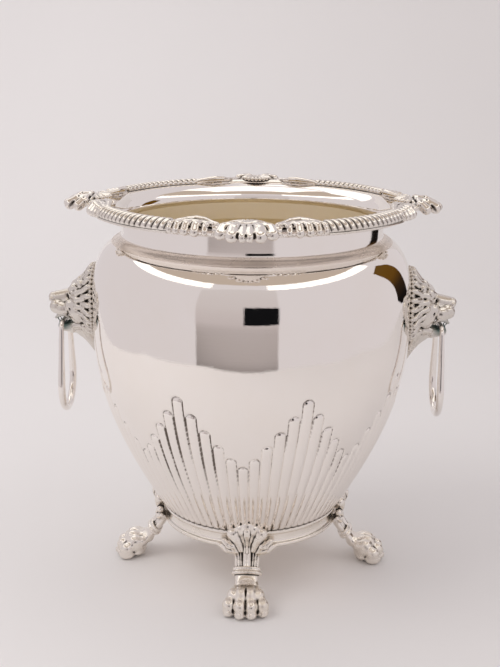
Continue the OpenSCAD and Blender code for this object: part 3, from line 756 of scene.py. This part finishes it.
def build_mask():
    c = Clay((98, -27.5, 142), (139.5, 27.5, 216), 0.42)
    cz = 188.0

    def spot(phi, r, d, squash=1.0):
        y = r * math.sin(phi)
        z = cz + r * math.cos(phi) * squash
        return (dome(0, y, z, d), y, z)

    def reach(phi):
        """Outline of the mane: round, a little peaked at the crest, drawn down into the beard."""
        p = abs(math.atan2(math.sin(phi), math.cos(phi)))
        return 24.2 + 1.2 * math.exp(-(p / 0.35) ** 2) + 3.0 * math.exp(-((p - math.pi) / 0.5) ** 2)

    # thin backing plate
    for i in range(44):
        phi = 2 * math.pi * i / 44
        c.tube([spot(phi, 9, 1.6), spot(phi, reach(phi) * 0.72, 1.2), spot(phi, reach(phi) - 1.3, 0.7)], [2.4, 2.1, 1.2], 0.6)
    # outer locks, flowing out from the ruff and ending in small curls on the rim
    n = 22
    for i in range(n):
        phi = 2 * math.pi * (i + 0.5) / n
        r = reach(phi)
        c.tube([spot(phi - 0.05, 10, 6.4), spot(phi + 0.05, r * 0.62, 5.2), spot(phi, r - 3.0, 2.8)], [2.8, 2.9, 2.0], 0.9)
        c.blob(spot(phi, r - 2.4, 2.0), (1.9, 1.9, 1.9), 0.4)
        c.tube([spot(phi + 0.06, r * 0.5, 8.1), spot(phi + 0.09, r * 0.72, 6.5), spot(phi + 0.05, r - 3.6, 4.5)], [0.25, 0.32, 0.25], 0.4, cut=True)
        c.tube([spot(phi + 0.143, r * 0.48, 6.6), spot(phi + 0.18, r * 0.72, 4.7), spot(phi + 0.143, r - 1.5, 2.2)], [0.25, 0.38, 0.4], 0.6, cut=True)
    # ruff of longer locks round the face
    n = 18
    for i in range(n):
        phi = 2 * math.pi * i / n
        lift = 9.8 if abs(math.cos(phi)) < 0.8 else 8.9
        c.tube([spot(phi, 8.5, lift + 2.6), spot(phi + 0.06, 12.8, lift + 0.2), spot(phi, 17.6, 5.4)], [2.5, 2.5, 1.3], 0.9)
        c.tube([spot(phi + 0.03, 9.6, lift + 4.6), spot(phi + 0.07, 12.8, lift + 2.3), spot(phi + 0.02, 16.4, 6.9)], [0.3, 0.35, 0.25], 0.3, cut=True)
    # skull
    c.blob((114.5, 0, 190.0), (7.5, 11.6, 11.2), 0.9)
    c.blob((116.8, 0, 195.8), (5.6, 8.8, 5.6), 0.7)
    c.blob((117.6, 0, 196.4), (4.6, 3.6, 4.4), 0.8)
    for s in (-1, 1):
        # brows, ears, cheeks
        c.blob((119.0, s * 5.6, 196.2), (3.2, 4.2, 3.3), 0.6)
        c.tube([(120.6, s * 2.0, 194.2), (121.6, s * 5.4, 195.1), (119.6, s * 9.4, 193.4)], [1.5, 1.9, 1.2], 0.5)
        c.blob((113.4, s * 10.6, 199.6), (2.8, 3.4, 3.4), 0.35)
        c.blob((116.2, s * 10.4, 199.8), (1.7, 1.9, 2.1), 0.35, cut=True)
        c.blob((116.6, s * 8.6, 181.0), (6.4, 4.9, 8.6), 0.9)
        c.blob((121.0, s * 7.0, 184.5), (4.6, 4.2, 4.8), 1.0)
    # muzzle: bridge, pads, nose
    c.rod((117.5, 0, 190.6), (131.8, 0, 188.2), 5.4, 4.5, 0.9)
    c.rod((121.5, 0, 185.0), (131.0, 0, 183.6), 7.0, 5.6, 0.9)
    for s in (-1, 1):
        c.blob((131.2, s * 4.0, 182.8), (5.2, 4.4, 5.0), 0.6)
        c.blob((127.0, s * 6.0, 181.5), (5.4, 3.4, 4.6), 0.8)
    c.blob((134.9, 0, 188.7), (2.8, 3.9, 2.7), 0.5)
    c.blob((134.4, 0, 190.4), (2.6, 3.2, 1.6), 0.4)
    for s in (-1, 1):
        c.blob((135.0, s * 3.3, 187.7), (2.0, 1.5, 1.5), 0.25)
        c.blob((136.9, s * 1.9, 187.4), (1.3, 0.95, 0.85), 0.2, cut=True)
        c.tube([(136.6, s * 3.6, 185.7), (134.2, s * 6.4, 186.2), (130.2, s * 7.8, 187.6)], [0.45, 0.6, 0.4], 0.3, cut=True)
        # whisker rows
        for j in range(3):
            for i in range(3):
                c.blob((134.6 - 2.3 * i, s * (5.2 + 0.95 * i), 184.3 - 1.7 * j), (1.0, 1.0, 0.50), 0.12, cut=True)
        # eye: socket, ball, lids
        c.blob((123.2, s * 6.5, 190.9), (3.0, 3.1, 2.3), 0.5, cut=True)
        c.blob((120.6, s * 6.2, 190.7), (2.3, 2.4, 1.9), 0.15)
        c.tube([(122.9, s * 3.9, 190.4), (122.9, s * 6.3, 192.5), (120.6, s * 8.9, 190.7)], [0.5, 0.62, 0.5], 0.15)
        c.tube([(122.6, s * 4.1, 189.6), (122.4, s * 6.3, 188.8), (120.4, s * 8.7, 189.6)], [0.45, 0.5, 0.4], 0.15)
        c.blob((122.8, s * 6.2, 190.7), (0.9, 0.75, 0.75), 0.1, cut=True)
        # frown and cheek creases
        c.tube([(122.7, s * 1.1, 197.6), (122.8, s * 1.7, 194.4), (123.6, s * 3.0, 191.6)], [0.35, 0.6, 0.5], 0.3, cut=True)
        c.tube([(123.8, s * 8.6, 187.0), (121.2, s * 10.9, 182.6), (119.5, s * 11.6, 177.5)], [0.4, 0.7, 0.4], 0.4, cut=True)
    c.tube([(137.9, 0, 186.6), (137.4, 0, 183.2), (136.2, 0, 179.2)], [0.4, 0.6, 0.7], 0.3, cut=True)
    # jaw, slope below it, beard
    c.tube([(113.5, 0, 171.5), (121.5, 0, 168.9), (128.2, 0, 168.4)], [6.2, 5.2, 3.7], 0.9)
    for s in (-1, 1):
        c.tube([(113.0, s * 5.6, 171.6), (120.5, s * 5.0, 169.8), (127.2, s * 3.2, 169.4)], [4.2, 3.0, 2.4], 0.7)
    c.tube([(115.0, 0, 168.5), (110.5, 0, 163.5), (107.0, 0, 156.5), (105.2, 0, 149.6)], [6.6, 5.4, 3.7, 1.5], 0.8)
    for s in (-1, 1):
        c.tube([(114.0, s * 4.4, 168.2), (110.8, s * 4.9, 162.5), (107.2, s * 3.5, 156.0), (105.6, s * 1.3, 151.0)], [2.6, 2.2, 1.7, 0.8], 0.3)
        c.tube([(118.2, s * 2.1, 164.8), (114.6, s * 2.6, 160.2), (110.6, s * 2.1, 155.0), (107.4, s * 0.8, 150.6)], [0.4, 0.6, 0.5, 0.3], 0.25, cut=True)
        c.tube([(112.6, s * 9.0, 170.5), (109.6, s * 7.6, 164.5), (106.6, s * 5.0, 158.5)], [2.4, 1.9, 0.9], 0.3)
    # open mouth: arch of the upper lip, hollow, teeth; the ring's wire runs through from cheek to cheek
    for y in np.linspace(-13, 13, 14):
        c.blob((126.6, y, 174.2), (4.0, 1.6, 2.7), 0.3, cut=True)
    c.rod((127.0, -16, 173.5), (127.0, 16, 173.5), 2.55, 2.55, 0.0, cut=True)
    c.tube([(122.6, -9.4, 174.8), (122.6, 9.4, 174.8)], [2.1, 2.1], 0.4, cut=True)
    for s in (-1, 1):
        c.tube([(122.2, s * 7.6, 175.2), (125.6, s * 8.3, 178.2), (129.2, s * 7.3, 177.8), (132.2, s * 5.0, 175.4)], [0.8, 1.1, 1.1, 0.9], 0.35)
        c.rod((131.4, s * 3.4, 176.6), (130.9, s * 3.2, 173.4), 0.95, 0.3, 0.1)
        c.rod((130.0, s * 2.6, 171.5), (130.3, s * 2.7, 173.6), 0.8, 0.3, 0.1)
    c.limit(lambda X, Y, Z: (wall_r(Z) - 0.1) - np.sqrt(X * X + Y * Y))
    return c.skin(1)


def build_shell():
    """One shell section of the border in (radius, arc length, height), bent round the rim afterwards."""
    bend = 106.0
    c = Clay((89.5, -51.6, 247.2), (126.6, 51.6, 260.2), 0.40)
    half = bend * math.radians(27)
    # body of the section
    c.tube([(101.2, -half, 252.9), (101.2, half, 252.9)], [3.7, 3.7], 0.5)
    c.tube([(104.0, -half, 251.3), (104.0, half, 251.3)], [1.9, 1.9], 0.8)
    for s in (-1, 1):
        # inner ridge: a long scroll that swells inwards and dies against the shell
        pts = [(99.0, s * 50.5, 255.6), (98.0, s * 45.0, 256.6), (96.2, s * 39.0, 257.4), (95.0, s * 33.5, 257.8), (96.0, s * 27.5, 257.6), (98.6, s * 22.5, 256.9), (101.8, s * 18.0, 256.6)]
        c.tube(pts, [1.0, 1.5, 1.9, 2.2, 1.9, 1.5, 1.4], 0.3)
        c.tube([(100.9, s * 44.0, 257.4), (99.3, s * 37.5, 258.0), (99.4, s * 31.0, 258.2), (101.6, s * 25.5, 257.8)], [0.7, 1.1, 1.1, 0.6], 0.35, cut=True)
        c.tube([(100.2, s * 49.5, 254.4), (99.4, s * 43, 254.9), (98.4, s * 36, 255.2), (98.6, s * 29, 255.2), (101.5, s * 20, 255.0)], [2.0, 2.8, 3.3, 3.1, 2.4], 0.5)
        # outer lobes of the scroll
        for q, r, out in ((47.6, 2.2, 0.0), (42.6, 2.6, 0.6), (36.9, 3.0, 1.2), (30.6, 3.3, 1.4), (24.6, 2.6, 0.6)):
            c.tube([(100.4, s * (q - 1.6), 256.6), (103.4, s * q, 255.6), (104.8 + out, s * q, 252.4)], [r * 0.55, r * 0.85, r * 0.92], 0.3)
            c.blob((104.6 + out, s * q, 252.6), (2.2, r * 0.92, 2.6), 0.2)
        # drilled hollows between them
        for q, r in ((45.1, 0.9), (39.8, 1.15), (33.8, 1.35), (27.5, 1.35), (21.8, 1.7)):
            c.rod((107.9, s * q, 249.6), (103.8, s * q, 254.2), r, r * 0.75, 0.3, cut=True)
            c.rod((105.0, s * (q + 0.1), 257.4), (104.6, s * q, 253.5), r * 0.5, r * 0.7, 0.3, cut=True)
        # volute against the shell
        t = np.linspace(0.0, 4.6, 14)
        rr = 3.0 * np.exp(-0.28 * t)
        c.tube(np.stack([103.4 + rr * np.cos(t + 0.6), s * (21.2 + rr * np.sin(t + 0.6) * 0.9), 256.6 + 0.12 * t], 1), np.linspace(1.15, 0.7, 14), 0.25)
    # shell: rim disc and six drooping outer flutes
    c.blob((105.0, 0, 254.0), (8.5, 17.8, 3.2), 0.8)
    for s in (-1, 1):
        for y0, y1, tip, r in ((0.9, 2.15, 122.3, 2.25), (3.6, 7.9, 119.6, 3.55), (6.6, 14.4, 113.6, 3.25)):
            c.tube([(103.2, s * y0, 256.3), (108.5, s * (0.55 * y0 + 0.45 * y1), 257.0), (114.0 if tip > 115 else 109.8, s * (0.2 * y0 + 0.8 * y1), 256.0), (tip, s * y1, 253.1)], [r * 0.5, r * 0.78, r * 0.98, r * 1.04], 1.3)
            c.blob((tip - 0.2, s * y1, 252.9), (r * 1.0, r * 1.04, 2.9), 0.5)
            c.rod((tip - 6.0 if tip > 115 else tip - 3.5, s * (y1 + 2.6), 258.6), (tip - 6.0 if tip > 115 else tip - 3.5, s * (y1 - 2.6), 258.6), 0.5, 0.5, 0.5, cut=True)
        for y0, y1, tip, r in ((2.3, 4.6, 123.6, 0.95), (5.6, 11.3, 119.6, 1.15), (8.8, 17.6, 112.6, 1.1)):
            c.tube([(106.5, s * y0, 257.6), (111.0, s * (0.5 * y0 + 0.5 * y1), 257.7), (tip - 3.6, s * y1 * 0.95, 255.0), (tip, s * y1, 251.4)], [0.12, 0.2, r * 0.50, r * 1.05], 0.4, cut=True)
    c.tube([(105.5, 0, 258.0), (112.0, 0, 258.2), (119.0, 0, 256.2), (124.6, 0, 253.6), (124.4, 0, 250.6)], [0.12, 0.2, 0.30, 0.80, 0.95], 0.4, cut=True)
    c.blob((112.5, 0, 254.4), (9.5, 13.5, 2.9), 1.0)
    for s in (-1, 1):
        for y1, tip, r in ((4.6, 123.6, 0.95), (11.3, 119.6, 1.1)):
            c.rod((tip - 2.6, s * y1 * 0.97, 255.6), (tip + 0.6, s * y1, 250.6), r * 0.8, r, 0.3, cut=True)
    # hollow under the shell
    c.blob((113.0, 0, 247.6), (8.5, 12.5, 3.2), 0.6, cut=True)
    # inward palmette
    for k in range(9):
        a = math.radians(-68 + 17 * k)
        e = 11.0 - 1.2 * abs(math.sin(a))
        tip = (105.2 - e * math.cos(a), 10.6 * math.sin(a), 257.4)
        c.tube([(104.6, 0.9 * math.sin(a), 257.9), ((104.9 + tip[0]) / 2, tip[1] * 0.55, 258.5), tip], [0.7, 1.15, 1.6], 0.2)
    for k in range(8):
        a = math.radians(-59.5 + 17 * k)
        e = 12.2
        c.tube([(103.4, 1.6 * math.sin(a), 259.3), (105.0 - e * 0.6 * math.cos(a), 7.4 * math.sin(a), 259.5), (105.2 - e * math.cos(a), 12.0 * math.sin(a), 258.4)], [0.35, 0.6, 0.65], 0.2, cut=True)
    c.tube([(106.6, -12.5, 257.6), (105.9, -5.5, 258.6), (105.9, 5.5, 258.6), (106.6, 12.5, 257.6)], [0.75, 0.95, 0.95, 0.75], 0.35, cut=True)
    c.limit(lambda X, Y, Z: np.abs(Y) - (half - 0.15) + 0 * X + 0 * Z)
    c.limit(lambda X, Y, Z: np.where(X < 104.9, 253.0 - Z, -9.0) + 0 * Y)
    v, f, dirt = c.skin(1)
    seam = np.clip(1 - (half - np.abs(v[:, 1])) / 0.7, 0, 1)
    dirt = dirt * (1 - 0.8 * seam)
    a = v[:, 1] / bend
    # straight rays for the shell itself, arc for the rest, so that the flutes do not spread
    w = np.clip((v[:, 0] - 106.0) / 19.0, 0, 1)
    ang = a * (1 - w * (1 - bend / np.maximum(v[:, 0], 1)))
    v = np.stack([v[:, 0] * np.cos(ang), v[:, 0] * np.sin(ang), v[:, 2]], 1)
    return v, f, np.clip(dirt + 0.12 * seam, 0, 1)


def ring_mesh():
    """Closed loop of round wire, finer where it runs through the mouth, fuller at the bottom."""
    pts, rad = [], []
    bend_r, top, low, deep = 5.0, 14.5, 20.5, 42.0
    w0, w1 = 1.65, 2.5
    for y in np.linspace(0, top - bend_r, 8, endpoint=False):
        pts.append((y, 0)); rad.append(w0)
    for a in np.linspace(90, 4, 14, endpoint=False):
        pts.append((top - bend_r + bend_r * math.cos(math.radians(a)), -bend_r + bend_r * math.sin(math.radians(a)))); rad.append(w0)
    for t in np.linspace(0, 1, 30, endpoint=False):
        ease = t + 0.03 * math.sin(math.pi * t)
        pts.append((top + (low - top) * ease, -bend_r + (-deep + bend_r) * t)); rad.append(w0 + (w1 - w0) * t)
    for a in np.linspace(0, -90, 26):
        pts.append((low * math.cos(math.radians(a)), -deep + low * math.sin(math.radians(a)))); rad.append(w1)
    half = np.array(pts)
    rad = np.array(rad)
    loop = np.concatenate([half, (half[1:-1] * [-1, 1])[::-1]])
    rads = np.concatenate([rad, rad[1:-1][::-1]])
    for _ in range(3):
        loop = 0.5 * loop + 0.25 * (np.roll(loop, 1, 0) + np.roll(loop, -1, 0))
        rads = 0.5 * rads + 0.25 * (np.roll(rads, 1) + np.roll(rads, -1))
    tan = np.roll(loop, -1, 0) - np.roll(loop, 1, 0)
    tan /= np.linalg.norm(tan, axis=1)[:, None]
    nrm = np.stack([-tan[:, 1], tan[:, 0]], 1)
    seg = 24
    a = np.linspace(0, 2 * np.pi, seg, endpoint=False)
    # slightly oval hand-drawn wire
    ov = 1 + 0.02 * np.sin(np.arange(len(loop)) * 0.31)[:, None]
    U = 127.0 + rads[:, None] * np.sin(a) * ov
    Y = loop[:, :1] + nrm[:, :1] * rads[:, None] * np.cos(a)
    Z = 173.5 + loop[:, 1:2] + nrm[:, 1:2] * rads[:, None] * np.cos(a)
    v = np.stack([U, Y, Z], -1).reshape(-1, 3)
    n = len(loop)
    R, C = np.meshgrid(np.arange(n), np.arange(seg), indexing="ij")
    R2, C2 = (R + 1) % n, (C + 1) % seg
    f = np.stack([R * seg + C, R * seg + C2, R2 * seg + C2, R2 * seg + C], -1).reshape(-1, 4)
    # painted shade on the part of the wire that runs inside the lion's mouth
    dirt = np.repeat(np.clip(1 - (-loop[:, 1] + 0.0) / 2.2, 0, 1) * 0.32, seg)
    return v, f, dirt


def outward(v, f):
    """Faces turned so that the closed mesh has positive volume."""
    a, b, c3, d = v[f[:, 0]], v[f[:, 1]], v[f[:, 2]], v[f[:, 3]]
    vol = np.einsum("ij,ij->i", a, np.cross(b, c3)).sum() + np.einsum("ij,ij->i", a, np.cross(c3, d)).sum()
    return f if vol > 0 else f[:, ::-1]


def place(mesh, name, node, body, mat, deg, mirror=False):
    v, f, dirt = mesh
    w = v * np.array([1, -1, 1]) if mirror else v
    w = turned(w, deg)
    ob = make_object(name, w, outward(w, f), [mat], {"dirt": np.clip(dirt, 0, 1) ** (1.1 if mat is MASK else 0.72 if mat is BORDER else 0.9)})
    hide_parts(node)
    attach(ob, body)
    return ob


foot = build_foot()
for side, deg in (("front", -90), ("right", 0), ("back", 90), ("left", 180)):
    place(foot, "paw_foot_" + side, "foot_" + side, VESSEL, CAST, deg)
shell = build_shell()
for side, deg in (("front", -90), ("right", 0), ("back", 90), ("left", 180)):
    place(shell, "shell_border_" + side, "border_shell_" + side, VESSEL, BORDER, deg)
mask = build_mask()
ringm = ring_mesh()
for side, deg in (("right", 0), ("left", 180)):
    place(mask, "lion_" + side, "lion_mask_" + side, VESSEL, MASK, deg)
    place(ringm, "drop_ring_" + side, "ring_handle_" + side, side + "_ring", RING, deg)

# ------------------------------------------------------------------ floor, light
def floor_material():
    g = Nodes("pale_floor")
    co = g.new("ShaderNodeTexCoord").outputs["Object"]
    n = g.new("ShaderNodeTexNoise", Vector=co, Scale=3.0, Detail=2.0).outputs[0]
    # the floor is painted lighter on the left and darker on the right: painted shade following the key light on the
    # left
    pale = g.mix(n, (0.815, 0.806, 0.798), (0.84, 0.83, 0.822))
    deep = g.mix(n, (0.735, 0.722, 0.712), (0.76, 0.747, 0.736))
    across = g.ramp(g.math("MULTIPLY_ADD", g.new("ShaderNodeSeparateXYZ", Vector=co).outputs[0], 1.1, 0.5), [(0.1, 0.0), (0.9, 1.0)])
    g.link(g.mix(across, pale, deep), g.p.inputs["Base Color"])
    g.p.inputs["Roughness"].default_value = 0.55
    g.p.inputs["Specular IOR Level"].default_value = 0.25
    return g.mat


def plane(name, corners, mat, camera=True):
    me = bpy.data.meshes.new(name)
    me.from_pydata([tuple(c) for c in corners], [], [tuple(range(len(corners)))])
    me.materials.append(mat)
    ob = bpy.data.objects.new(name, me)
    bpy.context.collection.objects.link(ob)
    ob.visible_camera = camera
    return ob


def sweep():
    """Pale table top that curves up into the backdrop; its front edge is just behind the camera's stand."""
    prof = [(-0.55, 0.0)] + [(y, 0.0) for y in np.linspace(-0.48, 0.75, 12)]
    prof += [(0.75 + 0.62 * math.sin(t), 0.62 - 0.62 * math.cos(t)) for t in np.linspace(0, math.pi / 2, 25)[1:]] + [(1.37, 0.80), (1.37, 1.0)]
    xs = np.linspace(-0.63, 0.68, 25)
    verts = [(x, y + (0.36 * max(0.0, (abs(x) - 0.24) / 0.40) ** 1.6 * max(0.0, (-0.10 - y) / 0.45) if z == 0.0 else 0.0), z) for (y, z) in prof for x in xs]
    k = len(xs)
    faces = [(i * k + j, i * k + j + 1, (i + 1) * k + j + 1, (i + 1) * k + j) for i in range(len(prof) - 1) for j in range(k - 1)]
    me = bpy.data.meshes.new("floor")
    me.from_pydata(verts, [], faces)
    me.polygons.foreach_set("use_smooth", [True] * len(faces))
    me.materials.append(floor_material())
    ob = bpy.data.objects.new("floor", me)
    bpy.context.collection.objects.link(ob)


sweep()
# the backdrop's upper part, out of the silver's sight so that the diffuser behind it shows there
upper = plane("backdrop_top", [(-0.63, 1.37, 1.0), (0.68, 1.37, 1.0), (0.68, 1.37, 2.4), (-0.63, 1.37, 2.4)], floor_material())
upper.visible_glossy = False


def emitter(name, colour, strength):
    mat = bpy.data.materials.new(name)
    mat.use_nodes = True
    nt = mat.node_tree
    nt.nodes.clear()
    o = nt.nodes.new("ShaderNodeOutputMaterial")
    e = nt.nodes.new("ShaderNodeEmission")
    e.inputs[0].default_value = (*colour, 1)
    e.inputs[1].default_value = strength
    nt.links.new(e.outputs[0], o.inputs[0])
    return mat


def card(name, centre, size, colour, strength=1.0, look=(0, 0, 0.15)):
    """An emitting panel that faces the object, seen only in reflections."""
    mat = emitter(name, colour, strength)
    c, l = Vector(centre), Vector(look)
    z = (c - l).normalized()
    x = Vector((0, 0, 1)).cross(z)
    x = x.normalized() if x.length > 1e-4 else Vector((1, 0, 0))
    y = z.cross(x)
    w, h = size[0] / 2, size[1] / 2
    ob = plane(name, [c - x * w - y * h, c + x * w - y * h, c + x * w + y * h, c - x * w + y * h], mat, camera=False)
    ob.visible_shadow = False
    ob.visible_diffuse = False
    return ob


def area(name, loc, size, power, look=(0, 0, 0.12), colour=(1, 1, 1), size_y=None):
    d = bpy.data.lights.new(name, "AREA")
    d.energy = power
    d.color = colour
    d.shape = "RECTANGLE"
    d.size = size
    d.size_y = size_y or size
    ob = bpy.data.objects.new(name, d)
    bpy.context.collection.objects.link(ob)
    ob.location = loc
    ob.rotation_euler = (Vector(look) - Vector(loc)).to_track_quat("-Z", "Y").to_euler()
    return ob


world = bpy.data.worlds.new("studio") if not bpy.context.scene.world else bpy.context.scene.world
bpy.context.scene.world = world
world.use_nodes = True
wn = world.node_tree
wn.nodes.clear()
wo = wn.nodes.new("ShaderNodeOutputWorld")
wb = wn.nodes.new("ShaderNodeBackground")
wb.inputs[0].default_value = (0.700, 0.653, 0.668, 1)
wb.inputs[1].default_value = 1.0
wn.links.new(wb.outputs[0], wo.inputs[0])


def strip(name, az0, az1, el0, el1, colour, strength, dist=2.0, n=24):
    """Part of a ring of light round the room, given by direction: azimuth from the front towards +X, and elevation."""
    mat = emitter(name, colour, strength)
    pts = []
    for a in np.radians(np.linspace(az0, az1, n)):
        pts.append([(dist * math.sin(a), -dist * math.cos(a), 0.2 + dist * math.tan(math.radians(e))) for e in (el0, el1)])
    verts = [p for pair in pts for p in pair]
    faces = [(2 * i, 2 * i + 2, 2 * i + 3, 2 * i + 1) for i in range(n - 1)]
    me = bpy.data.meshes.new(name)
    me.from_pydata(verts, [], faces)
    me.materials.append(mat)
    ob = bpy.data.objects.new(name, me)
    bpy.context.collection.objects.link(ob)
    ob.visible_camera = False
    ob.visible_shadow = False
    ob.visible_diffuse = False
    return ob


strip("window_band_left", -122, -30, 34.6, 43.6, (1.0, 0.97, 0.93), 1.5)
strip("window_band_right", 14, 116, 34.6, 43.6, (1.0, 0.97, 0.93), 1.5)
# front ceiling, warmer and dimmer than the walls; bright diffuser overhead and at the back
strip("front_ceiling", -125, 125, 43.6, 66.0, (0.52, 0.43, 0.365), 1.0)
card("overhead_diffuser", (0, 0.1, 2.2), (1.7, 1.5), (1.0, 0.96, 0.91), 1.45, look=(0, 0.1, 0))
card("back_diffuser", (-0.72, 1.3, 1.72), (1.4, 1.0), (1.0, 0.975, 0.95), 1.3, look=(0, 0, 0.2))


def shaded_panel(name, x0, x1, y, stops):
    """Upright panel whose glow changes with height: stops are (z, colour)."""
    mat = emitter(name, (0, 0, 0), 1.0)
    nt = mat.node_tree
    at = nt.nodes.new("ShaderNodeAttribute")
    at.attribute_name = "glow"
    nt.links.new(at.outputs["Color"], [n for n in nt.nodes if n.type == "EMISSION"][0].inputs[0])
    verts = [(x, y, z) for z, _ in stops for x in (x0, x1)]
    faces = [(2 * i, 2 * i + 1, 2 * i + 3, 2 * i + 2) for i in range(len(stops) - 1)]
    me = bpy.data.meshes.new(name)
    me.from_pydata(verts, [], faces)
    col = me.color_attributes.new("glow", "FLOAT_COLOR", "POINT")
    for i, (_, c) in enumerate(stops):
        col.data[2 * i].color = col.data[2 * i + 1].color = (*c, 1)
    me.materials.append(mat)
    ob = bpy.data.objects.new(name, me)
    bpy.context.collection.objects.link(ob)
    ob.visible_camera = False
    ob.visible_shadow = False
    ob.visible_diffuse = False


# grey stand in front, beyond the table's edge, and the black box on it
shaded_panel("front_stand", -0.70, 0.345, -1.0, [(-0.45, (0.19, 0.17, 0.165)), (-0.23, (0.22, 0.195, 0.19)), (-0.16, (0.31, 0.275, 0.27)), (-0.09, (0.43, 0.38, 0.375)), (0.05, (0.54, 0.48, 0.48)), (0.40, (0.60, 0.545, 0.545)), (0.90, (0.63, 0.58, 0.58))])
card("front_box", (0.144, -0.985, 0.206), (0.40, 0.335), (0.006, 0.006, 0.007), 1.0, look=(0.144, 0, 0.206))
# brown and black thing beyond the table on the right: a bowed panel set out by direction from the bowl's shoulder
def bowed_panel(name, rows, dist=0.95, centre=(0.10, -0.02, 0.21)):
    mat = emitter(name, (0, 0, 0), 1.0)
    nt = mat.node_tree
    at = nt.nodes.new("ShaderNodeAttribute")
    at.attribute_name = "glow"
    nt.links.new(at.outputs["Color"], [n for n in nt.nodes if n.type == "EMISSION"][0].inputs[0])
    verts = []
    for (a0, e0), (a1, e1), _ in rows:
        for az, el in ((a0, e0), (a1, e1)):
            az, el = math.radians(az), math.radians(el)
            verts.append((centre[0] + dist * math.cos(el) * math.sin(az), centre[1] - dist * math.cos(el) * math.cos(az), max(centre[2] + dist * math.sin(el), 0.004)))
    faces = [(2 * i, 2 * i + 1, 2 * i + 3, 2 * i + 2) for i in range(len(rows) - 1)]
    me = bpy.data.meshes.new(name)
    me.from_pydata(verts, [], faces)
    col = me.color_attributes.new("glow", "FLOAT_COLOR", "POINT")
    for i, (_, _, c) in enumerate(rows):
        col.data[2 * i].color = col.data[2 * i + 1].color = (*c, 1)
    me.materials.append(mat)
    ob = bpy.data.objects.new(name, me)
    bpy.context.collection.objects.link(ob)
    ob.visible_camera = False
    ob.visible_shadow = False
    ob.visible_diffuse = False


bowed_panel("side_panel", [((119, 30.5), (105, 25), (0.12, 0.062, 0.015)), ((128, 21.5), (109, 17), (0.125, 0.06, 0.010)), ((133, 10), (115, 8), (0.115, 0.052, 0.008)), ((137, 0), (120, -1), (0.03, 0.016, 0.008)), ((142, -8), (124, -10), (0.008, 0.006, 0.006)), ((147, -13), (131, -16), (0.008, 0.006, 0.006))])

for name, loc, size, power in (("key_left", (-1.2, -0.5, 1.7), 1.2, 10.0), ("fill_right", (1.2, -0.3, 1.7), 1.2, 3.0), ("back_top", (-0.2, 0.5, 1.9), 1.2, 3.0)):
    ob = area(name, loc, size, power, colour=(1.0, 0.985, 0.965))
    ob.visible_glossy = False

# light thrown back down by the bright metal under the bowl
ob = area("under_bounce", (0.0, 0.0, 0.031), 0.15, 0.011, look=(0, 0, -0.1), colour=(1.0, 0.80, 0.68))
ob.visible_glossy = False
ob.visible_camera = False

bpy.context.scene.view_settings.view_transform = "Standard"
